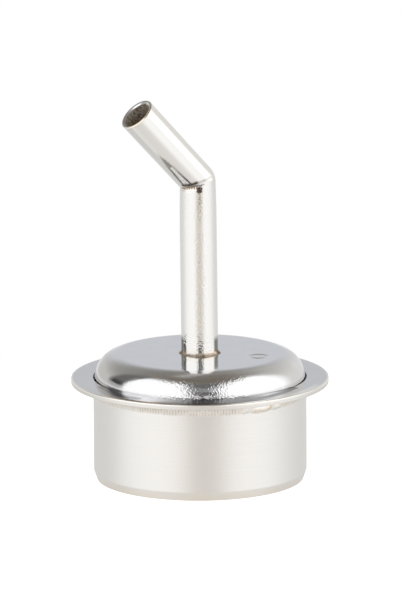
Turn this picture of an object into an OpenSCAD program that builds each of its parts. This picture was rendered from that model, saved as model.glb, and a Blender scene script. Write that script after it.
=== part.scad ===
// Hot air nozzle with a bent outlet tube, standing on the rim of its collar.
// Millimetres, +Z up. The origin is the middle of the rim, on the axis of the cup.
// The outlet leg leans towards -X, so the XZ plane is the plane of the bend.

/* [Cup] */
// Outside diameter of the drawn cup, whose lower wall is the plug-in collar
cup_d = 29; // [22:0.1:40]
// Sheet thickness of the cup
cup_wall = 0.8; // [0.6:0.05:1.2]
// Height of the collar, from its rim to the underside of the flange
collar_h = 13.25; // [8:0.05:25]
// How much smaller in radius the crown above the flange is than the collar
crown_inset = 0.17; // [0.05:0.01:0.2]
// Height above the underside of the flange at which the wall draws in to the crown
crown_step_h = 0.3; // [0.3:0.01:0.34]
// Height above the underside of the flange at which the shoulder starts
neck_h = 0.68; // [0.55:0.01:3]
// Outside radius of the shoulder that turns the wall into the flat top
shoulder_r = 3.4; // [2:0.1:6]
// Height of the lead-in chamfer at the rim
lead_in_h = 1.2; // [0.4:0.05:2]
// Depth of the lead-in chamfer along the radius
lead_in_depth = 0.42; // [0.1:0.02:0.5]

/* [Flange ring] */
// How far the ring stands out past the cup
flange_reach = 3; // [2:0.02:6]
// Thickness of the ring
flange_t = 0.75; // [0.55:0.05:2]
// Rounding of the ring's outer edges
flange_edge_r = 0.12; // [0.05:0.01:0.18]
// Gap between the ring's hole and the cup
flange_gap = 0.05; // [0.02:0.01:0.3]

/* [Bent tube] */
// Outside diameter of the tube
tube_d = 5; // [3.6:0.1:8]
// Wall thickness of the tube
tube_wall = 0.5; // [0.4:0.05:0.8]
// Height of the bend point above the flat top of the cup
riser_h = 23.72; // [12:0.02:60]
// Length of the outlet leg, from the bend point to the middle of the mouth
leg_l = 13.7; // [8:0.1:40]
// Angle of the outlet leg from the vertical
bend_angle = 43; // [20:1:60]
// Distance from the middle of the tube to the bend axis, inside the tube so that the bend pinches
bend_offset = 0.5; // [0.3:0.05:1.4]
// How far the tube's foot stands out below the sheet of the cup's top
foot_l = 0.8; // [0.2:0.1:3]
// Gap between the tube and its hole in the cup
tube_gap = 0.05; // [0.02:0.01:0.15]
// Chamfer on the outer edge of the mouth
mouth_chamfer = 0.1; // [0.02:0.01:0.14]
// Countersink on the inner edge of the mouth, wide enough to be seen as a bright crescent
mouth_countersink = 0.22; // [0.05:0.01:0.25]

/* [Weld and braze] */
// Height of the weld bead on the collar, below the flange
weld_h = 1.65; // [0.5:0.05:3]
// Reach of the weld bead under the flange
weld_reach = 0.8; // [0.3:0.05:1.6]
// Hollow of the weld bead, at the middle of its face
weld_hollow = 0.12; // [0.02:0.01:0.15]
// How deep the root of the weld melts into the cup and the flange
weld_root = 0.2; // [0.05:0.01:0.3]
// Height and reach of the braze fillet at the foot of the tube
braze_leg = 0.45; // [0.3:0.05:1]
// Hollow of the braze fillet, at the middle of its face
braze_hollow = 0.08; // [0.02:0.01:0.1]

/* [Hidden] */
$fn = 96;
cut = 1; // how far a cutting shape runs past the face that it opens

cup_r = cup_d / 2;
crown_r = cup_r - crown_inset;
crown_step_z = collar_h + crown_step_h;
cup_h = collar_h + neck_h + shoulder_r;

flange_r = cup_r + flange_reach;
flange_hole_r = cup_r + flange_gap;

tube_r = tube_d / 2;
bore_r = tube_r - tube_wall;
tube_hole_r = tube_r + tube_gap;
foot_z = cup_h - cup_wall - foot_l;
bend_setback = bend_offset * tan(bend_angle / 2);
bend_axis_z = cup_h + riser_h - bend_setback;
leg_straight = leg_l - bend_setback;

// Half section of the cup's outline, inset all round: straight collar wall, a slight draw-in to the crown,
// then a round shoulder up to a flat top.
module domed_section(inset, bottom_z) {
    shoulder = shoulder_r - inset;
    flat = crown_r - shoulder_r;
    wall_top = cup_h - shoulder_r;
    polygon([
        [0, bottom_z],
        [cup_r - inset, bottom_z],
        [cup_r - inset, crown_step_z],
        [crown_r - inset, crown_step_z + crown_inset],
        [crown_r - inset, wall_top],
        [0, wall_top],
    ]);
    translate([flat, wall_top]) circle(shoulder);
    translate([0, wall_top]) square([flat, shoulder]);
}

// What the lead-in chamfer takes off the rim, as a half section.
module lead_in_section() {
    polygon([
        [cup_r - lead_in_depth, 0],
        [cup_r, lead_in_h],
        [cup_r + cut, lead_in_h],
        [cup_r + cut, -cut],
        [cup_r - lead_in_depth, -cut],
    ]);
}

// Deep-drawn cup: collar wall, crown with a round shoulder, and flat top with the tube's hole.
// Its wall is melted away where the weld's root reaches into it.
module drawn_cup() {
    color([0.80, 0.79, 0.77])
    rotate_extrude()
    difference() {
        domed_section(0, 0);
        domed_section(cup_wall, -cut);
        translate([0, cup_h - cup_wall - cut]) square([tube_hole_r, cup_wall + 2 * cut]);
        lead_in_section();
        weld_section();
    }
}

// Flat ring slipped over the cup, with deburred outer edges.
module flange_ring() {
    inset_r = flange_r - flange_edge_r;
    color([0.74, 0.75, 0.77])
    rotate_extrude()
    difference() {
        translate([0, collar_h]) {
            translate([flange_hole_r, 0]) square([inset_r - flange_hole_r, flange_t]);
            translate([flange_hole_r, flange_edge_r])
                square([flange_r - flange_hole_r, flange_t - 2 * flange_edge_r]);
            for (z = [flange_edge_r, flange_t - flange_edge_r])
                translate([inset_r, z]) circle(flange_edge_r);
        }
        weld_section();
    }
}

// Places what is drawn about the bend axis: the tube's middle is at x = bend_offset, its way is +Z.
module on_bend_axis() {
    translate([-bend_offset, 0, bend_axis_z]) children();
}

// Solid of radius r along the tube's middle line. Its bend turns about an axis inside the tube,
// so the outer wall is round and the inner walls of the two legs meet in a crease.
module bent_rod(r, bottom_z, end_l) {
    translate([0, 0, bottom_z]) cylinder(r = r, h = bend_axis_z - bottom_z);
    on_bend_axis()
        rotate([90, 0, 0])
        rotate_extrude(angle = bend_angle)
        intersection() {
            translate([bend_offset, 0]) circle(r);
            translate([0, -r]) square([bend_offset + r, 2 * r]);
        }
    on_leg() cylinder(r = r, h = end_l);
}

// Places what is drawn along +Z onto the middle line of the outlet leg, from the end of the bend.
module on_leg() {
    on_bend_axis()
        rotate([0, -bend_angle, 0])
        translate([bend_offset, 0, 0])
        children();
}

// Ring that breaks the outer edge of the mouth.
module mouth_outer_chamfer() {
    translate([0, 0, leg_straight])
    rotate_extrude()
        polygon([
            [tube_r - mouth_chamfer, 0],
            [tube_r, -mouth_chamfer],
            [tube_r + cut, -mouth_chamfer],
            [tube_r + cut, cut],
            [tube_r - mouth_chamfer, cut],
        ]);
}

// Countersink that breaks the inner edge of the mouth.
module mouth_inner_chamfer() {
    translate([0, 0, leg_straight - mouth_countersink])
        cylinder(r1 = bore_r, r2 = bore_r + mouth_countersink, h = mouth_countersink);
}

// One tube: foot through the cup's top, riser, pinched bend and outlet leg.
module bent_tube() {
    color([0.83, 0.81, 0.78])
    difference() {
        bent_rod(tube_r, foot_z, leg_straight);
        bent_rod(bore_r, foot_z - cut, leg_straight + cut);
        on_leg() mouth_outer_chamfer();
        on_leg() mouth_inner_chamfer();
    }
}

// Middle of the circle through a and b whose arc bows by hollow towards the corner at the origin.
function hollow_centre(a, b, hollow) =
    let (
        chord = b - a,
        half = norm(chord) / 2,
        across = [-chord[1], chord[0]] / norm(chord),
        middle = (a + b) / 2,
        outward = across * middle > 0 ? across : -across
    )
    middle + outward * (hollow_radius(half, hollow) - hollow);

function hollow_radius(half_chord, hollow) =
    (half_chord * half_chord + hollow * hollow) / (2 * hollow);

// Section of filler metal between two toes, about a corner at the origin, with a hollow face.
// root is the deepest point of the metal, at the corner or behind it.
module fillet_section(face_toe, wall_toe, root, hollow) {
    half_chord = norm(face_toe - wall_toe) / 2;
    difference() {
        polygon([root, face_toe, wall_toe]);
        translate(hollow_centre(face_toe, wall_toe, hollow))
            circle(hollow_radius(half_chord, hollow));
    }
}

// Half section of the weld, in the corner between the collar's wall and the underside of the flange.
module weld_section() {
    translate([cup_r, collar_h])
        fillet_section([weld_reach, 0], [0, -weld_h], [-weld_root, weld_root], weld_hollow);
}

// Weld that holds the flange, all the way round under it.
module flange_weld_bead() {
    color([0.76, 0.71, 0.62])
    rotate_extrude() weld_section();
}

// Braze in the corner between the tube and the flat top of the cup.
module tube_braze_fillet() {
    color([0.66, 0.57, 0.45])
    translate([0, 0, cup_h])
    rotate_extrude()
    translate([tube_r, 0])
        fillet_section([braze_leg, 0], [0, braze_leg], [0, 0], braze_hollow);
}

drawn_cup();
flange_ring();
bent_tube();
flange_weld_bead();
tube_braze_fillet();
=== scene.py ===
"""Hot air nozzle: the dressed model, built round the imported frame."""
import math

import bpy
from mathutils import Matrix, Vector, noise


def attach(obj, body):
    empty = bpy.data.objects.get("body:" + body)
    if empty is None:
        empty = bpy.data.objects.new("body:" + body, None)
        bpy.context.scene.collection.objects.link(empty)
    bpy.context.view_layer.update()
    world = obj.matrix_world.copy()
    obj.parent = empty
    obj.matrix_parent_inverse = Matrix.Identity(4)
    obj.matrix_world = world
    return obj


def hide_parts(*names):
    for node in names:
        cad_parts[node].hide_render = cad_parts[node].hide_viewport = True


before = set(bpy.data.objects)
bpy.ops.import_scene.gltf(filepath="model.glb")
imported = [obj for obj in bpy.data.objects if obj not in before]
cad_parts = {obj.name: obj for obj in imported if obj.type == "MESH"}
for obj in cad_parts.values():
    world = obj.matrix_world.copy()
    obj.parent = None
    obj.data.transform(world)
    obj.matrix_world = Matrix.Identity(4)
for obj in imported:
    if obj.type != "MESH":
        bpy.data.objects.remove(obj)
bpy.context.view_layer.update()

MM = 0.001

# Sizes of the nozzle in millimetres, as in the part's source
CUP_R = 14.5
CUP_WALL = 0.8
COLLAR_H = 13.25
CROWN_R = 14.33
CROWN_STEP_Z = 13.55
SHOULDER_R = 3.4
CUP_H = 17.33
LEAD_IN_H = 1.2
LEAD_IN_DEPTH = 0.42
FLANGE_R = 17.5
FLANGE_HOLE_R = 14.55
FLANGE_T = 0.75
TUBE_R = 2.5
BORE_R = 2.0
TUBE_HOLE_R = 2.55
FOOT_Z = 15.73
BEND_Z = 41.05
BEND_ANGLE = math.radians(43)
BEND_OFFSET = 0.5
LEG_L = 13.7
MOUTH_CHAMFER = 0.1
MOUTH_COUNTERSINK = 0.22
WELD_H = 1.65
WELD_REACH = 0.8
WELD_HOLLOW = 0.12
BRAZE_LEG = 0.45

# Angle round the axis at which the front of the nozzle is
FRONT = math.radians(-119.8)

# Cup: softened lead-in, and the plain ring stamped into the top
LEAD_IN_SOFT_R = 0.5
STAMP_AT = (5.54, -6.33)
STAMP_R = 1.15
STAMP_WIDTH = 0.16
STAMP_DEPTH = 0.12
STAMPED_Z = CUP_H - 0.001

# Flange: upper face that rolls down to one part of the edge, and hole lip pressed to the crown at the front
FLANGE_EDGE_R = 0.1
FLANGE_ROLL_R = 16.8
FLANGE_ROLL_SOFT_R = 0.5
FLANGE_ROLL_DROP = 0.04
FLANGE_EVEN_DROP = 0.005
FLANGE_ROLL_WAY = math.radians(-138)
FLANGE_ROLL_SPREAD = (math.radians(22), math.radians(45))
FLANGE_LIP_R = 14.36
FLANGE_LIP_H = 0.2
FLANGE_LIP_SOFT_R = 0.01
FLANGE_LIP_SPREAD = (math.radians(50), math.radians(78))
FLANGE_BURR = 0.03

# Tube: how it leans and how the bend flattens it, on the riser's side and on the leg's
TUBE_LEAN = math.radians(0.85)
BEND_SQUASH = 0.034
SQUASH_REACH_RISER = 2.5
SQUASH_REACH_LEG = 10.5
BEND_FINE_L = 1.2
BEND_LEAST_R = 0.05

# Seam where the notched tube was folded and welded shut: points along it, its dip and the weld's pit
SEAM_START = (-2.81, -0.57, 40.82)
SEAM_KNEE = (-2.27, -1.40, 40.93)
SEAM_MIDDLE = (-1.50, -1.90, 41.22)
SEAM_RISE = (-0.35, -2.14, 41.50)
SEAM_END = (0.8, -1.89, 41.82)
SEAM_PITCH = 0.39
SEAM_RUN_OUT = 0.28
RISER_DIP_END = -0.22
RISER_DIP_WIDTH = 0.5
RISER_DIP_DEPTH = 0.05
LEG_DIP_END = -0.05
LEG_DIP_WIDTH = 0.45
LEG_DIP_DEPTH = 0.13
SEAM_PIT = (-1.03, -1.94, 40.23)
PIT_WAY = Vector((0.40, 0.90, 0.15)).normalized()
PIT_R = 0.45
PIT_DEPTH = 0.14

# Weld: pulsed spots round the collar, and the swollen start
WELD_SPOTS = 228
SPOT_STEPS = 8
SPOT_TOE = 0.12
SPOT_DEPTH = 0.05
WELD_SEAT = 0.004
WELD_TOE_LIFT = 0.14
WELD_TOE_ROUGH = 0.10
WELD_SKIN_ROUGH = 0.03
WELD_BACK = ((CUP_R + WELD_REACH - 0.1, COLLAR_H + 0.02), (CUP_R - 0.05, COLLAR_H + 0.02))
WELD_START = math.radians(-84)
LUMP_SPREAD = 0.24
LUMP_TOE = 0.06
LUMP_TOE_ROUGH = 0.12
LUMP_REACH = 0.76
LUMP_RISE = 0.35
LUMP_FULLNESS = 0.85

# Braze: its usual and least leg, its unevenness, and its lumps as (angle, size, heat)
BRAZE_USUAL_LEG = 0.32
BRAZE_LEAST_LEG = 0.12
BRAZE_SLOW_ROUGH = 0.10
BRAZE_FINE_ROUGH = 0.07
BRAZE_HOLLOW = 0.05
BRAZE_SEAT = 0.02
BRAZE_LUMPS = ((math.radians(162), 0.12, 0.74), (math.radians(-43), 0.16, 0.88))
BRAZE_LUMP_SPREAD = 0.16

# Camera: where the photograph was taken from
VIEW_AZIMUTH = math.radians(-29.7858)
VIEW_ELEVATION = math.radians(12.2985)
VIEW_ROLL = math.radians(0.279)
VIEW_DISTANCE = 0.966667
VIEW_TARGET = Vector((0, 0, 0.0241667))
VIEW_LENS = 426.99
VIEW_SENSOR = 36
VIEW_SHIFT = (0.00161, 0.00406)
VIEW_CLIP = (0.01, 10)


def make_camera():
    """Camera at the photograph's angle."""
    a, e = VIEW_AZIMUTH, VIEW_ELEVATION
    back = Vector((math.sin(a) * math.cos(e), -math.cos(a) * math.cos(e), math.sin(e)))
    level = Vector((math.cos(a), math.sin(a), 0))
    upright = back.cross(level)
    right = level * math.cos(VIEW_ROLL) - upright * math.sin(VIEW_ROLL)
    up = level * math.sin(VIEW_ROLL) + upright * math.cos(VIEW_ROLL)
    place = VIEW_TARGET + back * VIEW_DISTANCE
    data = bpy.data.cameras.new("camera")
    data.sensor_width = VIEW_SENSOR
    data.lens = VIEW_LENS
    data.shift_x, data.shift_y = VIEW_SHIFT
    data.clip_start, data.clip_end = VIEW_CLIP
    camera = bpy.data.objects.new("camera", data)
    camera.matrix_world = Matrix((
        (right.x, up.x, back.x, place.x),
        (right.y, up.y, back.y, place.y),
        (right.z, up.z, back.z, place.z),
        (0, 0, 0, 1),
    ))
    bpy.context.scene.collection.objects.link(camera)
    bpy.context.scene.camera = camera


# Node helpers

def wire(tree, socket, value):
    """Links another socket to this one, or writes a plain value or colour into it."""
    if isinstance(value, bpy.types.NodeSocket):
        tree.links.new(value, socket)
    elif socket.type == "RGBA":
        socket.default_value = (*value, 1)
    else:
        socket.default_value = value


def put(tree, kind, wired=None, **settings):
    """New node with its settings, and its inputs linked or filled in."""
    node = tree.nodes.new(kind)
    for key, value in settings.items():
        setattr(node, key, value)
    for key, value in (wired or {}).items():
        wire(tree, node.inputs[key], value)
    return node


def sums(tree, operation, *values, clamp=False):
    """Output of one Math node."""
    wired = dict(enumerate(values))
    return put(tree, "ShaderNodeMath", wired, operation=operation, use_clamp=clamp).outputs[0]


def times(tree, first, *others):
    """Product of masks and strengths."""
    for other in others:
        first = sums(tree, "MULTIPLY", first, other)
    return first


def most(tree, first, *others):
    """Highest of several masks."""
    for other in others:
        first = sums(tree, "MAXIMUM", first, other)
    return first


def inverse(tree, mask):
    """What a mask leaves free."""
    return sums(tree, "SUBTRACT", 1.0, mask)


def added(tree, base, value, by):
    """Base with a share of another value on top."""
    return sums(tree, "MULTIPLY_ADD", value, by, base)


def scaled(tree, value, low, high):
    """Value of 0 to 1, spread from low to high."""
    return sums(tree, "MULTIPLY_ADD", value, high - low, low)


def fade(tree, value, start, end, shape="SMOOTHSTEP"):
    """Change from 0 to 1 while value goes from start to end."""
    wired = {"Value": value, "From Min": start, "From Max": end, "To Min": 0.0, "To Max": 1.0}
    return put(tree, "ShaderNodeMapRange", wired, interpolation_type=shape).outputs["Result"]


def between(tree, share, first, second):
    """Value between first and second."""
    return put(tree, "ShaderNodeMix", {0: share, 2: first, 3: second}, data_type="FLOAT").outputs[0]


def mixed(tree, share, first, second, blend="MIX"):
    """Colour between first and second."""
    wired = {0: share, 6: first, 7: second}
    return put(tree, "ShaderNodeMix", wired, data_type="RGBA", blend_type=blend).outputs[2]


def ramp(tree, value, stops):
    """Colour ramp with the given (place, colour) stops."""
    node = put(tree, "ShaderNodeValToRGB", {"Fac": value})
    marks = node.color_ramp.elements
    while len(marks) < len(stops):
        marks.new(0.5)
    for mark, (place, colour) in zip(marks, stops):
        mark.position = place
        mark.color = (*colour, 1)
    return node.outputs["Color"]


def vectors(tree, operation, first, second=(0, 0, 0)):
    """Output of one Vector Math node: a number for a length, distance or dot product, otherwise a vector."""
    node = put(tree, "ShaderNodeVectorMath", {0: first, 1: second}, operation=operation)
    return node.outputs["Value" if operation in ("LENGTH", "DISTANCE", "DOT_PRODUCT") else "Vector"]


def vector_scaled(tree, vector, scale):
    """Vector times a number."""
    return put(tree, "ShaderNodeVectorMath", {0: vector, "Scale": scale}, operation="SCALE").outputs[0]


def effect(name, inputs, outputs):
    """Empty shader node group: its tree, the sockets that come in and the sockets that go out."""
    group = bpy.data.node_groups.new(name, "ShaderNodeTree")
    for label, kind, value in inputs:
        socket = group.interface.new_socket(label, in_out="INPUT", socket_type=kind)
        if value is not None:
            socket.default_value = value
    for label, kind in outputs:
        group.interface.new_socket(label, in_out="OUTPUT", socket_type=kind)
    start = group.nodes.new("NodeGroupInput")
    end = group.nodes.new("NodeGroupOutput")
    return group, start.outputs, end.inputs


def use(tree, group, **wired):
    """Outputs of a node group placed in a material."""
    by_label = {label.replace("_", " "): value for label, value in wired.items()}
    return put(tree, "ShaderNodeGroup", by_label, node_tree=group).outputs


FLOAT = "NodeSocketFloat"
VECTOR = "NodeSocketVector"
COLOUR = "NodeSocketColor"


# Shared effects

TEMPER_COLOURS = (
    (0.0, (1.0, 1.0, 1.0)),
    (0.3, (1.0, 0.93, 0.83)),
    (0.55, (0.92, 0.77, 0.58)),
    (0.8, (0.50, 0.38, 0.29)),
    (1.0, (0.035, 0.026, 0.02)),
)
MOUTH_AT = (-9.34, 0.5, 51.07)
MOUTH_FAR_WAY = (0.44, 0.80, 0.41)
MOUTH_NEAR_WAY = (0.35, -0.70, -0.62)


def make_place():
    """Where a point of the nozzle is, in millimetres, and round which way."""
    group, _, out = effect(
        "place on nozzle", [],
        [("Place", VECTOR), ("Height", FLOAT), ("Radius", FLOAT), ("Unrolled", VECTOR)],
    )
    coords = put(group, "ShaderNodeTexCoord")
    place = vector_scaled(group, coords.outputs["Object"], 1 / MM)
    x, y, z = put(group, "ShaderNodeSeparateXYZ", {0: place}).outputs
    square = sums(group, "ADD", sums(group, "MULTIPLY", x, x), sums(group, "MULTIPLY", y, y))
    flat = put(group, "ShaderNodeCombineXYZ", {0: x, 1: y, 2: 0.0}).outputs[0]
    along = put(group, "ShaderNodeSeparateXYZ", {0: vectors(group, "NORMALIZE", flat)}).outputs
    unrolled = put(group, "ShaderNodeCombineXYZ", {0: along[0], 1: along[1], 2: z}).outputs[0]
    wire(group, out["Place"], place)
    wire(group, out["Height"], z)
    wire(group, out["Radius"], sums(group, "SQRT", square))
    wire(group, out["Unrolled"], unrolled)
    return group


def patches(tree, vector, scale, detail, roughness):
    """Smooth noise from 0 to 1."""
    wired = {"Vector": vector, "Scale": scale, "Detail": detail, "Roughness": roughness}
    return put(tree, "ShaderNodeTexNoise", wired).outputs[0]


def make_grain():
    """Fine orange-peel grain of stretched, plated sheet: a height and a slow cloudiness."""
    group, inp, out = effect(
        "plating grain",
        [("Place", VECTOR, None), ("Grains per mm", FLOAT, 5.0)],
        [("Height", FLOAT), ("Cloud", FLOAT)],
    )
    fine = patches(group, inp["Place"], inp["Grains per mm"], detail=0.6, roughness=0.5)
    slow = patches(group, inp["Place"], 0.35, detail=3.0, roughness=0.55)
    wire(group, out["Height"], fine)
    wire(group, out["Cloud"], slow)
    return group


def make_lines():
    """Fine lines drawn in one direction: coordinates come stretched, a height and streaks go out."""
    group, inp, out = effect(
        "drawn lines",
        [("Along", VECTOR, None), ("Lines", FLOAT, 6.0)],
        [("Height", FLOAT), ("Streaks", FLOAT)],
    )
    fine = patches(group, inp["Along"], inp["Lines"], detail=3.0, roughness=0.7)
    coarse = patches(group, inp["Along"], 1.3, detail=2.0, roughness=0.5)
    wire(group, out["Height"], fine)
    wire(group, out["Streaks"], coarse)
    return group


def make_heat():
    """Temper colours on hot metal: from clean through straw and brown to burnt."""
    group, inp, out = effect(
        "heat tint",
        [("Metal", COLOUR, (0.8, 0.8, 0.8, 1)), ("Heat", FLOAT, 0.0)],
        [("Colour", COLOUR)],
    )
    tint = ramp(group, inp["Heat"], TEMPER_COLOURS)
    wire(group, out["Colour"], mixed(group, 1.0, inp["Metal"], tint, "MULTIPLY"))
    return group


def make_track():
    """How far along a straight line a point is, from 0 to 1, and how far away from it in millimetres."""
    group, inp, out = effect(
        "track along a line",
        [("Place", VECTOR, None), ("From", VECTOR, None), ("To", VECTOR, None)],
        [("Along", FLOAT), ("Away", FLOAT)],
    )
    line = vectors(group, "SUBTRACT", inp["To"], inp["From"])
    off = vectors(group, "SUBTRACT", inp["Place"], inp["From"])
    dot = vectors(group, "DOT_PRODUCT", off, line)
    along = sums(group, "DIVIDE", dot, vectors(group, "DOT_PRODUCT", line, line), clamp=True)
    wire(group, out["Along"], along)
    wire(group, out["Away"], vectors(group, "DISTANCE", off, vector_scaled(group, line, along)))
    return group


def make_mouth_place():
    """Where a point near the mouth is: how far from its middle, and towards its far and its near side."""
    group, inp, out = effect(
        "place in mouth", [("Place", VECTOR, None)], [("Out", FLOAT), ("Far", FLOAT), ("Near", FLOAT)],
    )
    off = vectors(group, "SUBTRACT", inp["Place"], MOUTH_AT)
    wire(group, out["Out"], vectors(group, "LENGTH", off))
    wire(group, out["Far"], vectors(group, "DOT_PRODUCT", off, MOUTH_FAR_WAY))
    wire(group, out["Near"], vectors(group, "DOT_PRODUCT", off, MOUTH_NEAR_WAY))
    return group


def make_facing():
    """How squarely a place round the axis faces a direction, as a cosine."""
    group, inp, out = effect(
        "facing", [("Unrolled", VECTOR, None), ("Way", VECTOR, None)], [("Facing", FLOAT)],
    )
    flat = vectors(group, "MULTIPLY", inp["Unrolled"], (1, 1, 0))
    wire(group, out["Facing"], vectors(group, "DOT_PRODUCT", flat, inp["Way"]))
    return group


def make_ripple():
    """Valleys between the pulsed spots of the weld round the collar."""
    group, inp, out = effect("weld ripple", [("Unrolled", VECTOR, None)], [("Valley", FLOAT)])
    x, y, _ = put(group, "ShaderNodeSeparateXYZ", {0: inp["Unrolled"]}).outputs
    turns = sums(group, "MULTIPLY", sums(group, "ARCTAN2", y, x), WELD_SPOTS / 2)
    wave = sums(group, "ABSOLUTE", sums(group, "COSINE", turns))
    wire(group, out["Valley"], sums(group, "POWER", wave, 4.0))
    return group


# Finish helpers

def new_finish(name, place, grain, grains_per_mm):
    """Metal with one Principled shader: material, tree, shader inputs, place on the nozzle and grain."""
    material = bpy.data.materials.new(name)
    material.use_nodes = True
    tree = material.node_tree
    shader = tree.nodes["Principled BSDF"].inputs
    shader["Metallic"].default_value = 1.0
    where = use(tree, place)
    peel = use(tree, grain, Place=where["Place"], Grains_per_mm=grains_per_mm)
    return material, tree, shader, where, peel


def temper(tree, shader, heat, metal, warmth):
    """Gives the finish its metal's colour with temper colours on it."""
    wire(tree, shader["Base Color"], use(tree, heat, Metal=metal, Heat=warmth)["Colour"])


def bump(tree, shader, height, depth_mm):
    """Relief of that depth on the finish."""
    node = put(tree, "ShaderNodeBump", {"Height": height, "Distance": depth_mm * MM, "Strength": 1.0})
    wire(tree, shader["Normal"], node.outputs[0])


def towards(tree, facing, where, part):
    """1 at one part of the way round: its angle, and the cosines at which it starts and is full."""
    angle, start, full = part
    way = use(tree, facing, Unrolled=where["Unrolled"], Way=(math.cos(angle), math.sin(angle), 0))
    return fade(tree, way["Facing"], start, full)


# Finish of the cup: heights and radii between which its looks change, and where the shoulder is grainy
CUP_TOP_Z = (13.2, 13.9)
CUP_RIM_Z = (1.5, 0.4)
SHOULDER_ZONE_R = (12.0, 13.3)
TURN_IN_R = (11.9, 12.3)
TURN_OUT_R = (13.4, 12.9)
GRAINY_PART = (FRONT, 0.84, 0.95)
WALL_STRETCH = (1.2, 1.2, 2.2)
WALL_STEEL = (0.87, 0.85, 0.82)
TOP_STEEL = ((0.76, 0.76, 0.77), (0.84, 0.84, 0.85))
INSIDE_STEEL = (0.62, 0.60, 0.57)


def make_cup_finish(place, grain, lines, heat, facing):
    """Plated sheet: satin lines on the drawn wall, a glossy top, a satin turn and a grainy front shoulder."""
    material, tree, shader, where, peel = new_finish("plated cup", place, grain, grains_per_mm=4.3)
    drawn = use(tree, lines, Along=vectors(tree, "MULTIPLY", where["Unrolled"], WALL_STRETCH), Lines=3.0)
    top = fade(tree, where["Height"], *CUP_TOP_Z)
    shoulder = fade(tree, where["Radius"], *SHOULDER_ZONE_R)
    turn = times(tree, fade(tree, where["Radius"], *TURN_IN_R), fade(tree, where["Radius"], *TURN_OUT_R))

    metal = mixed(tree, top, WALL_STEEL, mixed(tree, peel["Cloud"], *TOP_STEEL))
    rim = fade(tree, where["Height"], *CUP_RIM_Z)
    temper(tree, shader, heat, metal, times(tree, rim, peel["Cloud"], 0.3))

    wall_rough = scaled(tree, drawn["Streaks"], 0.29, 0.43)
    top_rough = added(tree, scaled(tree, peel["Cloud"], 0.04, 0.10), shoulder, 0.045)
    top_rough = added(tree, top_rough, turn, 0.15)
    wire(tree, shader["Roughness"], between(tree, top, wall_rough, top_rough))

    grainy = times(tree, shoulder, towards(tree, facing, where, GRAINY_PART))
    top_relief = times(tree, peel["Height"], scaled(tree, grainy, 0.2, 1.0))
    top_relief = added(tree, top_relief, peel["Cloud"], 0.5)
    wall_relief = times(tree, drawn["Height"], 0.8)
    bump(tree, shader, between(tree, top, wall_relief, top_relief), depth_mm=0.035)
    return material


def make_cup_inside(place, grain, heat):
    """Inside of the cup: dull drawn sheet with a little heat."""
    material, tree, shader, _, peel = new_finish("cup inside", place, grain, grains_per_mm=3.0)
    temper(tree, shader, heat, INSIDE_STEEL, scaled(tree, peel["Cloud"], 0.05, 0.55))
    wire(tree, shader["Roughness"], scaled(tree, peel["Cloud"], 0.32, 0.52))
    bump(tree, shader, peel["Height"], depth_mm=0.008)
    return material


# Finish of the flange: parts of the way round, radii, heights, and streaks of painted shade with their
# strength
# Parts of the way round where the brim carries a painted highlight
HIGHLIGHT_PART = (math.radians(-85), 0.75, 0.9)
HIGHLIGHT_BROAD_PART = (math.radians(-60), 0.89, 0.98)
PAINTED_SHADE_PART = (math.radians(-112), 0.82, 0.97)
PAINTED_SHADE_BROAD_PART = (FRONT, 0.91, 0.975)
# Parts of the way round of the painted dark line inside the edge
SHADE_LINE_PART = (FLANGE_ROLL_WAY, 0.78, 0.94)
SHADE_LINE_BROAD_PART = (math.radians(-129), 0.965, 0.995)
BRIM_R = (16.8, 17.1)
BRIM_Z = (13.86, 13.95)
SHADE_LINE_R = (16.55, 17.0)
GLEAM_R = (17.18, 17.34)
GLEAM_Z = (13.68, 13.84)
EDGE_R = (FLANGE_R - 0.06, FLANGE_R - 0.01)
# Streaks of painted shade on the ring's top along the crown's foot: their width, then (start, end, strength)
SHADE_STREAK_WIDTH = (0.95, 0.3)
FLANGE_SHADE_STREAKS = (
    ((-14.5, 1.0, 14.0), (-15.2, -4.2, 14.0), 0.5),
    ((-15.2, -4.2, 14.0), (-14.0, -7.4, 14.0), 0.6),
    ((-3.3, -15.8, 14.0), (1.9, -15.45, 14.0), 0.92),
    ((1.9, -15.45, 14.0), (4.2, -14.6, 14.0), 0.92),
    ((4.2, -14.6, 14.0), (7.2, -12.7, 14.0), 0.92),
)
FLANGE_STEEL = ((0.70, 0.70, 0.712), (0.77, 0.77, 0.78))
# Painted highlight colour of the pale brim
FLANGE_HIGHLIGHT = (0.98, 0.955, 0.90)
# Painted shade colour: near black, put on the ring's top where it mirrors dark
FLANGE_PAINTED_SHADE = (0.028, 0.022, 0.017)
FLANGE_CUT = (0.81, 0.795, 0.77)
# Painted highlight colour of the gleam on the upper edge
FLANGE_GLEAM = (0.98, 0.96, 0.92)


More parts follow.
